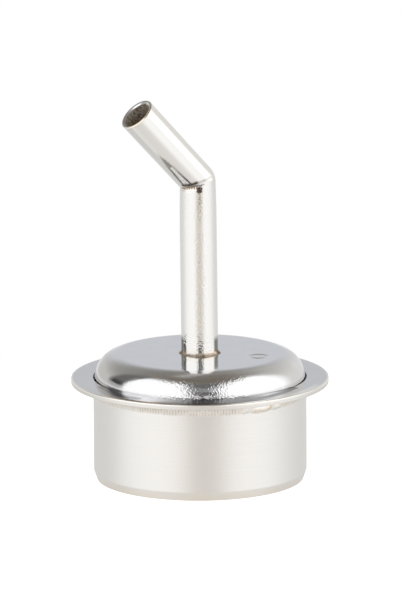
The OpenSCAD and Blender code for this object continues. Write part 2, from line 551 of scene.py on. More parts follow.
def make_flange_finish(place, grain, heat, facing, track):
    """Plated ring: painted shade beside the crown, a painted highlight on the brim, and a painted dark line
    and a painted highlight gleam at its edge.
    """
    material, tree, shader, where, peel = new_finish("plated flange", place, grain, grains_per_mm=4.0)
    # Painted shade beside the crown, kept off the brim, and streaks of painted shade along the crown's foot
    painted_shade_broad = times(tree, towards(tree, facing, where, PAINTED_SHADE_BROAD_PART), 0.2)
    highlight_broad = times(tree, towards(tree, facing, where, HIGHLIGHT_BROAD_PART), 0.55)
    brim_at = sums(tree, "ADD", sums(tree, "SUBTRACT", where["Radius"], painted_shade_broad), highlight_broad)
    brim = fade(tree, brim_at, *BRIM_R)
    # pale: painted highlight on the brim of the ring's top
    pale = times(tree, brim, towards(tree, facing, where, HIGHLIGHT_PART), fade(tree, where["Height"], *BRIM_Z))
    painted_shade = times(tree, towards(tree, facing, where, PAINTED_SHADE_PART), inverse(tree, brim))
    for start, end, strength in FLANGE_SHADE_STREAKS:
        shade_streak = use(tree, track, Place=where["Place"], From=start, To=end)
        painted_shade = most(tree, painted_shade, times(tree, fade(tree, shade_streak["Away"], *SHADE_STREAK_WIDTH), strength))

    edge = fade(tree, where["Radius"], *EDGE_R)
    # gleam: painted highlight on the ring's upper edge, paler and less rough
    gleam = times(tree, fade(tree, where["Height"], *GLEAM_Z), fade(tree, where["Radius"], *GLEAM_R))
    # line: painted shade, a dark brown line inside the edge, coloured through the temper ramp
    shade_line_at = added(tree, where["Radius"], towards(tree, facing, where, SHADE_LINE_BROAD_PART), 0.9)
    line = times(tree, fade(tree, shade_line_at, *SHADE_LINE_R), fade(tree, edge, 0.4, 0.0), inverse(tree, gleam))
    line = times(tree, line, towards(tree, facing, where, SHADE_LINE_PART))

    metal = mixed(tree, peel["Cloud"], *FLANGE_STEEL)
    metal = mixed(tree, pale, metal, FLANGE_HIGHLIGHT)
    metal = mixed(tree, painted_shade, metal, FLANGE_PAINTED_SHADE)
    metal = mixed(tree, edge, metal, FLANGE_CUT)
    metal = mixed(tree, gleam, metal, FLANGE_GLEAM)
    # The painted shade line gets its brown from the temper colours; the cut edge gets a little heat
    temper(tree, shader, heat, metal, most(tree, times(tree, line, 0.78), times(tree, edge, 0.05)))
    dull = sums(tree, "SUBTRACT", edge, gleam, clamp=True)
    wire(tree, shader["Roughness"], added(tree, scaled(tree, peel["Cloud"], 0.14, 0.24), dull, 0.22))
    bump(tree, shader, peel["Height"], depth_mm=0.012)
    return material


# Finish of the tube: marks at the folded seam, soot and painted dark reflection among them, each a line, its
# width, strength and fading along the line
# First two marks: painted dark reflection of the riser's edges on the leg; the others: soot along the welded
# crease and towards the pit
SOOT_AND_EDGE_REFLECTION_MARKS = (
    (((-5.9, -0.95, 44.3), (-2.74, -0.72, 40.68)), 0.17, 1.0, (-0.1, 0.5)),
    (((-5.3, -1.33, 44.1), (-2.01, -1.62, 40.96)), 0.16, 1.0, (0.0, 0.75)),
    ((SEAM_START, SEAM_KNEE), 0.3, 1.0),
    ((SEAM_KNEE, SEAM_MIDDLE), 0.34, 1.0),
    ((SEAM_MIDDLE, SEAM_PIT), 0.28, 0.4),
)
FAINT_MARKS = (
    ((SEAM_MIDDLE, SEAM_RISE), 0.26, 0.75),
    ((SEAM_RISE, SEAM_END), 0.2, 0.5),
)
# Painted reflection: a pale patch on the leg inside the fold, where the leg mirrors the riser
REFLECTION_PATCH_MARK = (((-4.85, -1.15, 43.4), (-2.95, -1.22, 41.45)), 0.3, 1.0)
# Darker speckled stripe down the riser's front: strong from the pit to the join, then fainter lower down
STRIPE_JOIN = (-1.1, -2.1, 34.0)
PIT_STRIPE_MARK = ((SEAM_PIT, STRIPE_JOIN), 0.42, 1.0, (1.0, 0.2))
PIT_STRIPE_SPECKLE = (0.35, 0.6)
STRIP_MARK = ((STRIPE_JOIN, (-1.36, -2.1, 20.0)), 0.6, 0.22)
STRIP_SPECKLE = (0.4, 0.62)
TICK_LINES = (
    ((-2.46, -0.08, 40.34), (-2.08, -1.04, 40.48)),
    ((-2.08, -1.04, 40.48), (-1.5, -1.65, 40.53)),
)
TICK_LENGTH = (0.42, 0.15)
TICK_BEAT = (-0.4, 0.5)
TICK_COUNT = 5.5
PIT_BURN = (0.5, 0.3)
# Darker patches on the riser's flanks near the foot: parts of the way round, and heights where they fade
FOOT_FLANK_PARTS = ((math.radians(-47), 0.90, 0.965), (math.radians(-196), 0.955, 0.985))
FOOT_FLANK_Z = (CUP_H + 2.7, CUP_H + 1.7)
FOOT_TINT_Z = (CUP_H + 1.2, CUP_H + 0.2)
GOLDEN_NEAR = (0.6, 1.7)
GOLDEN_OUT = (2.58, 2.42)
RISER_GRAIN_Z = (40.9, 40.3)
TUBE_STEEL = (0.875, 0.862, 0.84)
# Painted reflection colour of that patch
TUBE_REFLECTION_PALE = (0.96, 0.94, 0.90)
SEAM_FAINT = (0.42, 0.38, 0.31)
STRIPE_TAN = (0.5, 0.46, 0.4)
FOOT_FLANK_DARK = (0.17, 0.165, 0.155)
# Soot colour, also used for the painted dark reflection of the riser's edges
SOOT_AND_EDGE_REFLECTION = (0.075, 0.052, 0.036)


def make_tube_finish(place, grain, heat, track, mouth, facing):
    """Plated tube: soot of the weld and a painted dark reflection of the riser's edges at the bend, a painted
    pale reflection inside the fold, a darker speckled stripe down the riser, and darker flanks and straw at
    the foot.
    """
    material, tree, shader, where, peel = new_finish("plated tube", place, grain, grains_per_mm=4.2)
    ragged = scaled(tree, peel["Height"], -0.15, 0.15)

    def follow(start, end):
        """Way along a line and distance from it."""
        return use(tree, track, Place=where["Place"], From=start, To=end)

    def mark(line, width, strength, along=None):
        """Ragged mark along a line."""
        way = follow(*line)
        away = sums(tree, "ADD", way["Away"], times(tree, ragged, width))
        shade = times(tree, fade(tree, away, width * 1.25, 0.0), strength)
        return times(tree, shade, fade(tree, way["Along"], *along)) if along else shade

    crease = follow(SEAM_START, SEAM_MIDDLE)
    beat = sums(tree, "COSINE", times(tree, crease["Along"], 2 * math.pi * TICK_COUNT))
    from_ticks = sums(tree, "MINIMUM", *(follow(*line)["Away"] for line in TICK_LINES))
    ticks = times(tree, fade(tree, from_ticks, *TICK_LENGTH), fade(tree, beat, *TICK_BEAT), 0.8)
    from_pit = added(tree, vectors(tree, "DISTANCE", where["Place"], SEAM_PIT), ragged, 2.0)
    burnt = times(tree, fade(tree, from_pit, *PIT_BURN), 0.95)
    # Soot of the weld, with the painted dark reflection of the riser's edges
    soot_and_edge_reflection = most(tree, burnt, *(mark(*dark_mark) for dark_mark in SOOT_AND_EDGE_REFLECTION_MARKS))

    lip = use(tree, mouth, Place=where["Place"])
    golden = times(tree, fade(tree, lip["Near"], *GOLDEN_NEAR), fade(tree, lip["Out"], *GOLDEN_OUT), 0.35)
    straw = most(tree, times(tree, fade(tree, where["Height"], *FOOT_TINT_Z), 0.25), golden)
    warmth = most(tree, times(tree, straw, scaled(tree, peel["Cloud"], 0.4, 1.2)), ticks)

    # flat: painted reflection patch, paler, less metallic and rougher
    flat = mark(*REFLECTION_PATCH_MARK)
    faint = most(tree, *(mark(*faint_mark) for faint_mark in FAINT_MARKS))
    # Darker speckled stripe down the riser's front
    pit_stripe = times(tree, mark(*PIT_STRIPE_MARK), fade(tree, peel["Height"], *PIT_STRIPE_SPECKLE))
    strip = times(tree, mark(*STRIP_MARK), fade(tree, peel["Height"], *STRIP_SPECKLE))
    # Darker patches on the riser's flanks near the foot
    foot_flank_dark = most(tree, *(towards(tree, facing, where, part) for part in FOOT_FLANK_PARTS))
    foot_flank_dark = times(tree, foot_flank_dark, fade(tree, where["Height"], *FOOT_FLANK_Z), 0.9)
    metal = mixed(tree, flat, TUBE_STEEL, TUBE_REFLECTION_PALE)
    metal = mixed(tree, faint, metal, SEAM_FAINT)
    metal = mixed(tree, most(tree, pit_stripe, strip), metal, STRIPE_TAN)
    metal = mixed(tree, foot_flank_dark, metal, FOOT_FLANK_DARK)
    toned = use(tree, heat, Metal=metal, Heat=warmth)
    wire(tree, shader["Base Color"], mixed(tree, soot_and_edge_reflection, toned["Colour"], SOOT_AND_EDGE_REFLECTION))

    wire(tree, shader["Metallic"], scaled(tree, flat, 1.0, 0.3))
    dull = added(tree, times(tree, flat, 0.3), most(tree, warmth, soot_and_edge_reflection), 0.35)
    wire(tree, shader["Roughness"], sums(tree, "ADD", dull, scaled(tree, peel["Cloud"], 0.08, 0.18)))
    riser_grain = times(tree, peel["Height"], fade(tree, where["Height"], *RISER_GRAIN_Z))
    bump(tree, shader, riser_grain, depth_mm=0.035)
    return material


# Finish of the mouth and the bore: distances from the mouth's middle, and where light falls in
# Painted highlight: a near-white crescent on the far side of the countersink
CRESCENT_HIGHLIGHT_FAR = (1.9, 2.0)
CRESCENT_HIGHLIGHT_OUT = (2.16, 2.11)
LIP_NEAR = (0.75, 1.35)
LIP_OUT = (2.28, 2.40)
LIT_AT = (-7.98, -0.25, 52.33)
LIT_EDGE_AWAY = (1.1, 0.6)
LIT_EDGE_OUT = (2.25, 2.19)
LIT_BORE_AWAY = (1.3, 0.5)
BORE_SPECKLE = (0.38, 0.62)
SAWN_STEEL = ((0.34, 0.335, 0.33), (0.50, 0.495, 0.49))
# Near lip: straw temper colour on the inner part, painted pale highlight on the outer part
STRAW_AND_HIGHLIGHT_LIP = ((0.50, 0.36, 0.12), (0.97, 0.92, 0.76))
CRESCENT_HIGHLIGHT = (0.97, 0.97, 0.97)
LIT_EDGE = (0.85, 0.80, 0.72)
BORE_STEEL = ((0.60, 0.60, 0.605), (0.97, 0.95, 0.92))


def make_cut_face(place, grain, mouth):
    """Sawn and countersunk mouth: grey, with a painted highlight crescent on the far side, and a near lip in
    straw temper colour with a painted pale highlight.
    """
    material, tree, shader, where, peel = new_finish("sawn mouth", place, grain, grains_per_mm=6.0)
    lip = use(tree, mouth, Place=where["Place"])
    # Painted highlight crescent on the far side
    highlight_crescent = times(tree, fade(tree, lip["Far"], *CRESCENT_HIGHLIGHT_FAR), fade(tree, lip["Out"], *CRESCENT_HIGHLIGHT_OUT))
    near = fade(tree, lip["Near"], *LIP_NEAR)
    from_light = vectors(tree, "DISTANCE", where["Place"], LIT_AT)
    lit = times(tree, fade(tree, from_light, *LIT_EDGE_AWAY), fade(tree, lip["Out"], *LIT_EDGE_OUT))
    # Straw temper colour inside, painted pale highlight towards the outer edge
    straw_and_highlight = mixed(tree, fade(tree, lip["Out"], *LIP_OUT), *STRAW_AND_HIGHLIGHT_LIP)
    colour = mixed(tree, near, mixed(tree, peel["Height"], *SAWN_STEEL), straw_and_highlight)
    colour = mixed(tree, highlight_crescent, colour, CRESCENT_HIGHLIGHT)
    wire(tree, shader["Base Color"], mixed(tree, lit, colour, LIT_EDGE))
    wire(tree, shader["Metallic"], added(tree, scaled(tree, highlight_crescent, 0.5, 1.0), near, -0.3))
    wire(tree, shader["Roughness"], scaled(tree, peel["Cloud"], 0.3, 0.4))
    bump(tree, shader, peel["Height"], depth_mm=0.012)
    return material


def make_bore_finish(place, grain, heat):
    """Bore of the tube: bare, grainy and burnt by the hot air, paler where light falls in at the mouth."""
    material, tree, shader, where, peel = new_finish("tube bore", place, grain, grains_per_mm=3.2)
    lit = fade(tree, vectors(tree, "DISTANCE", where["Place"], LIT_AT), *LIT_BORE_AWAY)
    burnt = scaled(tree, fade(tree, peel["Height"], *BORE_SPECKLE), 0.25, 0.75)
    burnt = times(tree, burnt, scaled(tree, lit, 1.0, 0.2))
    temper(tree, shader, heat, mixed(tree, lit, *BORE_STEEL), burnt)
    wire(tree, shader["Metallic"], scaled(tree, lit, 0.55, 0.05))
    wire(tree, shader["Roughness"], scaled(tree, peel["Cloud"], 0.35, 0.55))
    bump(tree, shader, peel["Height"], depth_mm=0.05)
    return material


# Finish of the weld and the braze
LUMPY_PART = (WELD_START, 0.955, 0.975)
SPOT_PATCHES = (0.25, 0.6)
LUMP_SEAMS = (0.50, 0.38)
# Weld metal, and the paler metal of the start, which is a painted highlight
WELD_STEEL = ((0.87, 0.86, 0.84), (0.98, 0.97, 0.95))
WELD_VALLEY = (0.60, 0.57, 0.53)
BRAZE_PATCHES = (0.48, 0.72)
BRAZE_LUMP_FADE = (0.93, 0.985)
BRAZE_METAL = (0.63, 0.57, 0.51)


def make_weld_finish(place, grain, heat, ripple, facing):
    """Weld metal: bright ripples with straw and grey between them, and a seamed start whose paler metal is a
    painted highlight.
    """
    material, tree, shader, where, peel = new_finish("weld metal", place, grain, grains_per_mm=1.6)
    ticks = use(tree, ripple, Unrolled=where["Unrolled"])
    lumpy = towards(tree, facing, where, LUMPY_PART)
    spots = times(tree, ticks["Valley"], fade(tree, peel["Height"], *SPOT_PATCHES))
    spots = times(tree, spots, scaled(tree, lumpy, 1.0, 0.0))
    seams = times(tree, lumpy, fade(tree, peel["Height"], *LUMP_SEAMS), 0.45)
    # Paler metal on the swollen start: painted highlight
    metal = mixed(tree, lumpy, *WELD_STEEL)
    metal = mixed(tree, times(tree, spots, 0.55), metal, WELD_VALLEY)
    temper(tree, shader, heat, metal, most(tree, scaled(tree, spots, 0.06, 0.40), seams))
    wire(tree, shader["Roughness"], scaled(tree, peel["Cloud"], 0.2, 0.4))
    bump(tree, shader, peel["Height"], depth_mm=0.01)
    return material


def make_braze_finish(place, grain, heat, facing):
    """Braze: tan in patches, with brown lumps at both sides of the tube."""
    material, tree, shader, where, peel = new_finish("braze metal", place, grain, grains_per_mm=1.8)
    warmth = scaled(tree, fade(tree, peel["Height"], *BRAZE_PATCHES), 0.04, 0.64)
    for angle, _, burnt in BRAZE_LUMPS:
        lump = towards(tree, facing, where, (angle, *BRAZE_LUMP_FADE))
        warmth = most(tree, warmth, times(tree, lump, burnt))
    temper(tree, shader, heat, BRAZE_METAL, warmth)
    wire(tree, shader["Roughness"], scaled(tree, peel["Cloud"], 0.3, 0.5))
    bump(tree, shader, peel["Height"], depth_mm=0.01)
    return material


# Mesh helpers

def eased(share):
    """Share held between 0 and 1, with soft ends."""
    held = min(max(share, 0), 1)
    return held * held * (3 - 2 * held)


def apart(angle, middle):
    """Turn from the middle angle to this one, the short way round."""
    return math.atan2(math.sin(angle - middle), math.cos(angle - middle))


def bell(angle, middle, flat, end):
    """1 within flat of the middle angle, easing to 0 at end."""
    return eased((end - abs(apart(angle, middle))) / (end - flat))


def unevenness(angle, waves, row):
    """Smooth unevenness round the axis, from -1 to 1; each row is another one."""
    return noise.noise(Vector((waves * math.cos(angle), waves * math.sin(angle), row)))


def angles(steps, shift=0):
    """Angles of equal steps round the axis."""
    return [2 * math.pi * (j + shift) / steps for j in range(steps)]


def spread(start, end, count, gather):
    """Values from start to end, the start left out, gathered towards the end where gather is over 1."""
    return [start + (end - start) * (1 - (1 - k / count) ** gather) for k in range(1, count + 1)]


def rounded(corners, steps, closed=True):
    """Outline from (r, z, rounding) corners, with an arc at each rounded corner."""
    points = []
    count = len(corners)
    for i, (r, z, rounding) in enumerate(corners):
        here = Vector((r, z))
        if rounding == 0 or (not closed and i in (0, count - 1)):
            points.append(here)
            continue
        before = (Vector(corners[i - 1][:2]) - here).normalized()
        after = (Vector(corners[(i + 1) % count][:2]) - here).normalized()
        half = before.angle(after) / 2
        centre = here + (before + after).normalized() * (rounding / math.sin(half))
        start = here + before * (rounding / math.tan(half)) - centre
        turn = math.copysign(math.pi - 2 * half, before.y * after.x - before.x * after.y)
        for k in range(steps + 1):
            t = turn * k / steps
            c, s = math.cos(t), math.sin(t)
            points.append(centre + Vector((start.x * c - start.y * s, start.x * s + start.y * c)))
    return [(p.x, p.y) for p in points]


def bow(first, last, sag, count):
    """Points of a hollow face from first to last, bowed by sag towards the corner."""
    a, b = Vector(first), Vector(last)
    chord = b - a
    inwards = Vector((-chord.y, chord.x)).normalized()
    shares = [k / count for k in range(count + 1)]
    return [a.lerp(b, share) + inwards * (sag * 4 * share * (1 - share)) for share in shares]


def across(lines):
    """Rings across lines of points that run side by side."""
    return [list(ring) for ring in zip(*lines)]


def turned(outlines, turns):
    """Rings of points from one (r, z) outline for each angle round the axis."""
    return across([
        [(r * math.cos(t), r * math.sin(t), z) for r, z in outline]
        for outline, t in zip(outlines, turns)
    ])


def loft(rings):
    """Points and quads of the closed skin through rings of points; the last ring joins the first."""
    count = len(rings[0])
    points = [p for ring in rings for p in ring]
    faces = []
    for i in range(len(rings)):
        a, b = i * count, ((i + 1) % len(rings)) * count
        for j in range(count):
            k = (j + 1) % count
            faces.append((a + j, a + k, b + k, b + j))
    return points, faces


def make_piece(name, rings, finishes, sharp, face_finish=None):
    """Mesh object through rings of points in millimetres, smooth but for its sharp edges."""
    points, faces = loft(rings)
    mesh = bpy.data.meshes.new(name)
    mesh.from_pydata([(x * MM, y * MM, z * MM) for x, y, z in points], [], faces)
    for finish in finishes:
        mesh.materials.append(finish)
    if face_finish:
        mesh.polygons.foreach_set("material_index", face_finish)
    mesh.shade_smooth()
    mesh.set_sharp_from_angle(angle=math.radians(sharp))
    piece = bpy.data.objects.new(name, mesh)
    bpy.context.scene.collection.objects.link(piece)
    return piece


def settle(piece, node):
    """Piece stands for that CAD node: it hangs under the root body, and the node is hidden."""
    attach(piece, "root")
    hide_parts(node)


# Pieces

def stamped(x, y, z):
    """Height of a point of the cup once the plain ring is pressed into its flat top."""
    if z <= STAMPED_Z:
        return z
    off = math.hypot(x - STAMP_AT[0], y - STAMP_AT[1]) - STAMP_R
    return z - STAMP_DEPTH * math.exp(-(off / STAMP_WIDTH) ** 2)


def make_cup(finish, inside):
    """Drawn cup: chamfered rim, straight wall, round shoulder, flat top with the tube's hole, and inside."""
    steps = 320
    arc_steps = 24
    top_rings = 48
    step_h = CUP_R - CROWN_R
    flat_r = CROWN_R - SHOULDER_R
    outer = rounded([
        (CUP_R - LEAD_IN_DEPTH, 0, 0),
        (CUP_R, LEAD_IN_H, LEAD_IN_SOFT_R),
        (CUP_R, CROWN_STEP_Z, 0),
        (CROWN_R, CROWN_STEP_Z + step_h, 0),
        (CROWN_R, CUP_H, SHOULDER_R),
        (flat_r, CUP_H, 0),
    ], arc_steps, closed=False)[:-1]
    outer += [(flat_r + (TUBE_HOLE_R - flat_r) * k / top_rings, CUP_H) for k in range(1, top_rings + 1)]
    inner = rounded([
        (TUBE_HOLE_R, CUP_H - CUP_WALL, 0),
        (CROWN_R - CUP_WALL, CUP_H - CUP_WALL, SHOULDER_R - CUP_WALL),
        (CROWN_R - CUP_WALL, CROWN_STEP_Z + step_h, 0),
        (CUP_R - CUP_WALL, CROWN_STEP_Z, 0),
        (CUP_R - CUP_WALL, 0, 0),
    ], arc_steps, closed=False)
    rings = turned([outer + inner] * steps, angles(steps))
    rings = [[(x, y, stamped(x, y, z)) for x, y, z in ring] for ring in rings]
    marks = [0] * (len(outer) * steps) + [1] * (len(inner) * steps)
    piece = make_piece("drawn_cup_dressed", rings, [finish, inside], sharp=40, face_finish=marks)
    settle(piece, "drawn_cup")


def make_flange(finish):
    """Flat ring, pressed close to the crown at its front, whose upper face rolls down to part of its edge."""
    low, high = COLLAR_H, COLLAR_H + FLANGE_T
    turns = angles(steps=288)
    outlines = []
    for t in turns:
        rolled = bell(t, FLANGE_ROLL_WAY, *FLANGE_ROLL_SPREAD)
        drop = FLANGE_EVEN_DROP + (FLANGE_ROLL_DROP - FLANGE_EVEN_DROP) * rolled
        closed = bell(t, FRONT, *FLANGE_LIP_SPREAD)
        lip = FLANGE_HOLE_R - FLANGE_BURR + (FLANGE_LIP_R - FLANGE_HOLE_R + FLANGE_BURR) * closed
        outlines.append(rounded([
            (FLANGE_HOLE_R, low, 0),
            (FLANGE_R, low, FLANGE_EDGE_R),
            (FLANGE_R, high - drop, FLANGE_EDGE_R),
            (FLANGE_ROLL_R, high, FLANGE_ROLL_SOFT_R),
            (lip, high, FLANGE_LIP_SOFT_R),
            (lip, high - FLANGE_LIP_H, 0),
            (FLANGE_HOLE_R, high - FLANGE_LIP_H - (FLANGE_HOLE_R - lip), 0),
        ], steps=8))
    piece = make_piece("flange_ring_dressed", turned(outlines, turns), [finish], sharp=50)
    settle(piece, "flange_ring")


def seam_dip(angle, way, riser_side):
    """How far the tube's skin dips towards the welded seam, at that way from it."""
    rough = unevenness(angle, waves=4, row=8.3)
    if riser_side:
        beat = math.cos(2 * math.pi * angle * TUBE_R / SEAM_PITCH)
        end = RISER_DIP_END
        width = RISER_DIP_WIDTH + 0.08 * rough
        depth = RISER_DIP_DEPTH + 0.012 * beat + 0.01 * rough
    else:
        end = LEG_DIP_END
        width = LEG_DIP_WIDTH + 0.05 * rough
        depth = LEG_DIP_DEPTH
    return eased((end - math.cos(angle)) / SEAM_RUN_OUT) * depth * max(0, 1 - way / width) ** 2


def bend_squash(way, riser_side):
    """Share by which the bend flattens the tube in its own plane, at that way from it."""
    reach = SQUASH_REACH_RISER if riser_side else SQUASH_REACH_LEG
    return BEND_SQUASH * math.exp(-(way / reach) ** 2)


def leaned(x, y, z):
    """Point of the straight tube after the tube leans about its foot, with the weld's pit pressed in."""
    c, s = math.cos(TUBE_LEAN), math.sin(TUBE_LEAN)
    rise = z - CUP_H
    place = Vector((x, y * c + rise * s, CUP_H + rise * c - y * s))
    way = (place - Vector(SEAM_PIT)).length
    if way < PIT_R:
        place += PIT_WAY * (PIT_DEPTH * (1 - (way / PIT_R) ** 2) ** 2)
    return tuple(place)


def tube_line(radius, angle, end_short, seamed):
    """Line along the tube's skin at one angle round it: riser, bend and leg, as points."""
    x = radius * math.cos(angle)
    y = radius * math.sin(angle)
    half = math.tan(BEND_ANGLE / 2)
    arc = max(BEND_OFFSET + x, BEND_LEAST_R)
    bend_start = BEND_Z + x * half - arc * half
    reach = LEG_L - end_short + (x - arc) * half
    plain_steps, fine_steps, bend_steps = 12, 14, 8
    gather = 1.6
    line = []

    def lay(turn, along, way, riser_side):
        """Next point of the line, after that turn of the bend and that far along from it."""
        dip = seam_dip(angle, way, riser_side) if seamed else 0
        r = arc - x * (dip / radius + bend_squash(way, riser_side))
        c, s = math.cos(turn), math.sin(turn)
        flat_x = x - arc + r * c - along * s
        line.append(leaned(flat_x, y * (1 - dip / radius), bend_start + r * s + along * c))

    fine_z = bend_start - BEND_FINE_L
    riser = [FOOT_Z] + spread(FOOT_Z, fine_z, plain_steps, 1)
    for z in riser + spread(fine_z, bend_start, fine_steps, gather):
        lay(0, z - bend_start, bend_start - z, True)
    for k in range(1, bend_steps + 1):
        lay(BEND_ANGLE * k / bend_steps, 0, 0, k < bend_steps / 2)
    fine = [BEND_FINE_L - way for way in spread(0, BEND_FINE_L, fine_steps, gather)]
    for way in fine[-2::-1] + spread(BEND_FINE_L, reach, plain_steps, 1):
        lay(BEND_ANGLE, way, way, False)
    return line


def make_tube(finish, cut_face, bore):
    """Bent tube in one closed skin: outside with the folded seam, sawn mouth, bore and foot."""
    steps = 320
    turns = angles(steps, 0.5)
    outside = across([tube_line(TUBE_R, t, MOUTH_CHAMFER, True) for t in turns])
    inside = across([tube_line(BORE_R, t, MOUTH_COUNTERSINK, False) for t in turns])
    mouth = [
        [tube_line(radius, t, 0, False)[-1] for t in turns]
        for radius in (TUBE_R - MOUTH_CHAMFER, BORE_R + MOUTH_COUNTERSINK)
    ]
    rings = outside + mouth + inside[::-1]
    marks = [0] * (len(outside) * steps) + [1] * (len(mouth) * steps) + [2] * (len(inside) * steps)
    piece = make_piece("bent_tube_dressed", rings, [finish, cut_face, bore], sharp=28, face_finish=marks)
    settle(piece, "bent_tube")


def weld_outline(spot, t):
    """Outline of the weld at one angle, spot being 0 between two pulsed spots and 1 in the middle of one."""
    face_steps = 8
    rough = unevenness(t, waves=9, row=3.1)
    blob = unevenness(t, waves=15, row=7.7)
    lump = math.exp(-(apart(t, WELD_START) / LUMP_SPREAD) ** 6)
    toe = WELD_H - SPOT_TOE * (1 - spot) - WELD_TOE_LIFT + WELD_TOE_ROUGH * rough
    toe += lump * (LUMP_TOE + LUMP_TOE_ROUGH * blob)
    wall_toe = (CUP_R + WELD_SEAT, COLLAR_H - toe)
    flange_toe = (CUP_R + WELD_REACH, COLLAR_H - WELD_SEAT)
    outline = []
    for k, p in enumerate(bow(wall_toe, flange_toe, WELD_HOLLOW, face_steps)):
        swell = math.sin(math.pi * k / face_steps) ** 0.6
        out = swell * (SPOT_DEPTH * (spot - 1) * (1 - lump) + WELD_SKIN_ROUGH * rough)
        bulge = CUP_R + LUMP_REACH * min(1, k / (LUMP_RISE * face_steps)) ** 0.6
        swollen = lump * min(max(LUMP_FULLNESS + blob, 0), 1) * max(bulge - p.x, 0)
        outline.append((p.x + 0.9 * out + swollen, p.y - 0.3 * out))
    return outline + list(WELD_BACK)


def make_weld_bead(finish):
    """Weld under the flange: overlapping pulsed spots, with one thicker start and stop."""
    turns = angles(WELD_SPOTS * SPOT_STEPS)
    spots = [abs(math.sin(math.pi * ((j % SPOT_STEPS) / SPOT_STEPS))) ** 0.7 for j in range(len(turns))]
    outlines = [weld_outline(spot, t) for spot, t in zip(spots, turns)]
    piece = make_piece("flange_weld_bead_dressed", turned(outlines, turns), [finish], sharp=70)
    settle(piece, "flange_weld_bead")


def make_braze(finish):
    """Braze ring at the tube's foot, uneven in height and reach."""
    turns = angles(steps=192)
    outlines = []
    for t in turns:
        leg = BRAZE_USUAL_LEG + BRAZE_SLOW_ROUGH * unevenness(t, waves=2.2, row=0.4)
        leg += BRAZE_FINE_ROUGH * unevenness(t, waves=7, row=5.0)
        for angle, size, _ in BRAZE_LUMPS:
            leg += size * math.exp(-(apart(t, angle) / BRAZE_LUMP_SPREAD) ** 2)
        leg = min(max(leg, BRAZE_LEAST_LEG), BRAZE_LEG)
        face = bow((TUBE_R + leg, CUP_H), (TUBE_R, CUP_H + leg), BRAZE_HOLLOW, count=5)
        outlines.append([(p.x, p.y) for p in face] + [(TUBE_R - BRAZE_SEAT, CUP_H - BRAZE_SEAT)])
    piece = make_piece("tube_braze_fillet_dressed", turned(outlines, turns), [finish], sharp=60)
    settle(piece, "tube_braze_fillet")


# Stage

FLOOR_R = 0.078
FLOOR_FADE_R = (0.05, FLOOR_R - 0.002)
FLOOR_Z = -0.00002
FLOOR_GREY = (0.9, 0.9, 0.9)
FLOOR_SHINE = (0.75, 0.75, 0.75)


def make_floor():
    """Pale round floor that fades out, keeps the shadow and isn't seen from below."""
    ring = [(FLOOR_R * math.cos(t), FLOOR_R * math.sin(t), FLOOR_Z) for t in angles(steps=96)]
    mesh = bpy.data.meshes.new("floor")
    mesh.from_pydata(ring, [], [tuple(range(len(ring)))])
    floor = bpy.data.objects.new("floor", mesh)
    bpy.context.scene.collection.objects.link(floor)
    material = bpy.data.materials.new("pale floor")
    material.use_nodes = True
    tree = material.node_tree
    tree.nodes.clear()
    path = put(tree, "ShaderNodeLightPath").outputs
    coords = put(tree, "ShaderNodeTexCoord")
    seen = put(tree, "ShaderNodeNewGeometry")
    lit = put(tree, "ShaderNodeBsdfDiffuse", {"Color": FLOOR_GREY})
    shine = put(tree, "ShaderNodeEmission", {"Color": FLOOR_SHINE, "Strength": path["Is Camera Ray"]})
    pale = put(tree, "ShaderNodeAddShader", {0: lit.outputs[0], 1: shine.outputs[0]})
    edge = fade(tree, vectors(tree, "LENGTH", coords.outputs["Object"]), *FLOOR_FADE_R)
    gone = most(tree, edge, path["Is Glossy Ray"], path["Is Transmission Ray"], seen.outputs["Backfacing"])
    clear = put(tree, "ShaderNodeBsdfTransparent")
    whole = put(tree, "ShaderNodeMixShader", {0: gone, 1: pale.outputs[0], 2: clear.outputs[0]})
    out = put(tree, "ShaderNodeOutputMaterial")
    wire(tree, out.inputs["Surface"], whole.outputs[0])
    mesh.materials.append(material)


# Light tent: strength, panels, and colours along the height or the way round as (place, colour) stops
TENT_STRENGTH = 1.1
PANEL = (1.14, 1.14, 1.14)
DIM_FRONT_TURN = math.radians(6)
DIM_FRONT = (0.70, 0.66, 0.615)
GROUND_FAR = (
    (0.0, (0.97, 0.965, 0.96)),
    (0.30, (0.98, 0.98, 0.98)),
    (0.45, (0.93, 0.93, 0.93)),
    (0.58, (0.76, 0.76, 0.755)),
    (0.67, (0.70, 0.70, 0.695)),
    (0.78, (0.68, 0.68, 0.675)),
    (1.0, (0.75, 0.75, 0.75)),
)
GROUND_NEAR = (
    (0.0, (0.71, 0.695, 0.675)),
    (0.45, (0.78, 0.77, 0.755)),
    (0.62, (0.61, 0.605, 0.595)),
)
BACK = (
    (0.17, (0.70, 0.70, 0.71)),
    (0.27, (0.60, 0.61, 0.63)),
    (0.34, (0.575, 0.59, 0.617)),
    (0.40, (0.575, 0.59, 0.617)),
    (0.54, (0.48, 0.485, 0.49)),
    (0.65, (0.35, 0.35, 0.34)),
    (0.76, (0.27, 0.265, 0.25)),
    (0.86, (0.20, 0.19, 0.17)),
)
LEFT_FLANK = (
    (0.17, (0.58, 0.565, 0.54)),
    (0.37, (0.57, 0.555, 0.53)),
    (0.52, (0.42, 0.41, 0.39)),
    (0.65, (0.315, 0.305, 0.285)),
    (0.76, (0.27, 0.26, 0.24)),
    (0.92, (0.19, 0.18, 0.16)),
)
RIGHT_FLANK = (
    (0.17, (0.72, 0.71, 0.69)),
    (0.38, (0.73, 0.715, 0.69)),
    (0.52, (0.66, 0.645, 0.62)),
    (0.65, (0.57, 0.555, 0.53)),
    (0.76, (0.47, 0.455, 0.43)),
    (0.85, (0.34, 0.325, 0.30)),
    (0.92, (0.23, 0.215, 0.19)),
)
